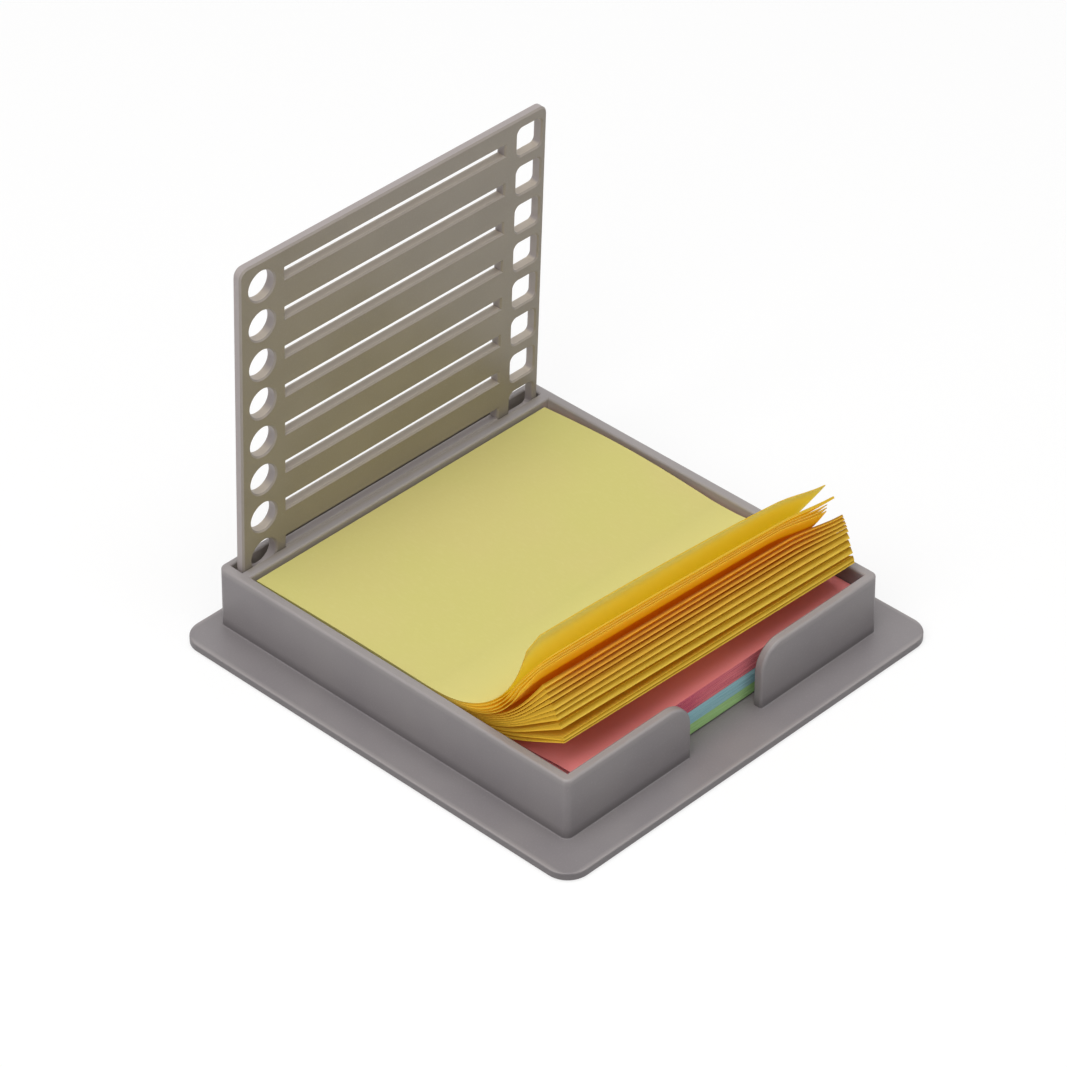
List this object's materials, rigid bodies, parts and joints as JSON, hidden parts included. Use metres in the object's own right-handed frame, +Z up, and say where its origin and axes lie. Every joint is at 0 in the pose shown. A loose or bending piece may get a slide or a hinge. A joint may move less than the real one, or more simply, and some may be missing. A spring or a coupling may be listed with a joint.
{
  "type": "memo pad tray",
  "caption": "Flat desk tray with a walled well for stacked sticky memo pads, a finger notch in front and an upright perforated stencil plate in a slot behind.",
  "frame": {"origin": "centre of the base plate's underside", "axes": "+X to the right seen from the front, +Y towards the stencil plate at the back, +Z up"},
  "size_m": [0.0986, 0.1002, 0.0825],
  "materials": {
    "tray_plastic": "satin moulded",
    "plate_plastic": "satin moulded",
    "green_paper": "uncoated paper",
    "blue_paper": "uncoated paper",
    "pink_paper": "uncoated paper",
    "yellow_paper": "uncoated paper"
  },
  "bodies": {
    "tray": {"tray": "tray_plastic"},
    "stencil_plate": {"stencil_plate": "plate_plastic"},
    "green_pad": {"green_pad": "green_paper"},
    "blue_pad": {"blue_pad": "blue_paper"},
    "pink_pad": {"pink_pad": "pink_paper"},
    "yellow_leaf_01": {"yellow_leaf_01": "yellow_paper"},
    "yellow_leaf_02": {"yellow_leaf_02": "yellow_paper"},
    "yellow_leaf_03": {"yellow_leaf_03": "yellow_paper"},
    "yellow_leaf_04": {"yellow_leaf_04": "yellow_paper"},
    "yellow_leaf_05": {"yellow_leaf_05": "yellow_paper"},
    "yellow_leaf_06": {"yellow_leaf_06": "yellow_paper"},
    "yellow_leaf_07": {"yellow_leaf_07": "yellow_paper"},
    "yellow_leaf_08": {"yellow_leaf_08": "yellow_paper"},
    "yellow_leaf_09": {"yellow_leaf_09": "yellow_paper"},
    "yellow_leaf_10": {"yellow_leaf_10": "yellow_paper"},
    "yellow_leaf_11": {"yellow_leaf_11": "yellow_paper"},
    "yellow_leaf_12": {"yellow_leaf_12": "yellow_paper"},
    "yellow_leaf_13": {"yellow_leaf_13": "yellow_paper"},
    "yellow_leaf_14": {"yellow_leaf_14": "yellow_paper"},
    "yellow_leaf_15": {"yellow_leaf_15": "yellow_paper"}
  },
  "joints": [
    {"name": "plate_lift", "type": "slide", "parent": "tray", "child": "stencil_plate", "axis": [0, -0.0391, 0.9992], "range_m": [0, 0.02]},
    {"name": "green_pad_lift", "type": "slide", "parent": "tray", "child": "green_pad", "axis": [0, 0, 1], "range_m": [0, 0.015]},
    {"name": "blue_pad_lift", "type": "slide", "parent": "green_pad", "child": "blue_pad", "axis": [0, 0, 1], "range_m": [0, 0.012]},
    {"name": "pink_pad_lift", "type": "slide", "parent": "blue_pad", "child": "pink_pad", "axis": [0, 0, 1], "range_m": [0, 0.009]},
    {"name": "yellow_pad_lift", "type": "slide", "parent": "pink_pad", "child": "yellow_leaf_01", "axis": [0, 0, 1], "range_m": [0, 0.005]},
    {"name": "leaf_02_turn", "type": "hinge", "parent": "yellow_leaf_01", "child": "yellow_leaf_02", "pos_m": [0, 0.03965, 0.0115], "axis": [-1, 0, 0], "range_deg": [0, 2]},
    {"name": "leaf_03_turn", "type": "hinge", "parent": "yellow_leaf_02", "child": "yellow_leaf_03", "pos_m": [0, 0.03965, 0.01168], "axis": [-1, 0, 0], "range_deg": [0, 2]},
    {"name": "leaf_04_turn", "type": "hinge", "parent": "yellow_leaf_03", "child": "yellow_leaf_04", "pos_m": [0, 0.03965, 0.01186], "axis": [-1, 0, 0], "range_deg": [0, 2]},
    {"name": "leaf_05_turn", "type": "hinge", "parent": "yellow_leaf_04", "child": "yellow_leaf_05", "pos_m": [0, 0.03965, 0.01204], "axis": [-1, 0, 0], "range_deg": [0, 2]},
    {"name": "leaf_06_turn", "type": "hinge", "parent": "yellow_leaf_05", "child": "yellow_leaf_06", "pos_m": [0, 0.03965, 0.01222], "axis": [-1, 0, 0], "range_deg": [0, 2]},
    {"name": "leaf_07_turn", "type": "hinge", "parent": "yellow_leaf_06", "child": "yellow_leaf_07", "pos_m": [0, 0.03965, 0.0124], "axis": [-1, 0, 0], "range_deg": [0, 2]},
    {"name": "leaf_08_turn", "type": "hinge", "parent": "yellow_leaf_07", "child": "yellow_leaf_08", "pos_m": [0, 0.03965, 0.01258], "axis": [-1, 0, 0], "range_deg": [0, 2]},
    {"name": "leaf_09_turn", "type": "hinge", "parent": "yellow_leaf_08", "child": "yellow_leaf_09", "pos_m": [0, 0.03965, 0.01276], "axis": [-1, 0, 0], "range_deg": [0, 2]},
    {"name": "leaf_10_turn", "type": "hinge", "parent": "yellow_leaf_09", "child": "yellow_leaf_10", "pos_m": [0, 0.03965, 0.01294], "axis": [-1, 0, 0], "range_deg": [0, 2]},
    {"name": "leaf_11_turn", "type": "hinge", "parent": "yellow_leaf_10", "child": "yellow_leaf_11", "pos_m": [0, 0.03965, 0.01312], "axis": [-1, 0, 0], "range_deg": [0, 2]},
    {"name": "leaf_12_turn", "type": "hinge", "parent": "yellow_leaf_11", "child": "yellow_leaf_12", "pos_m": [0, 0.03965, 0.0133], "axis": [-1, 0, 0], "range_deg": [0, 2]},
    {"name": "leaf_13_turn", "type": "hinge", "parent": "yellow_leaf_12", "child": "yellow_leaf_13", "pos_m": [0, 0.03965, 0.01348], "axis": [-1, 0, 0], "range_deg": [0, 6]},
    {"name": "leaf_14_turn", "type": "hinge", "parent": "yellow_leaf_13", "child": "yellow_leaf_14", "pos_m": [0, 0.03965, 0.01366], "axis": [-1, 0, 0], "range_deg": [0, 10]},
    {"name": "leaf_15_turn", "type": "hinge", "parent": "yellow_leaf_14", "child": "yellow_leaf_15", "pos_m": [0, 0.03965, 0.01384], "axis": [-1, 0, 0], "range_deg": [0, 25]}
  ]
}
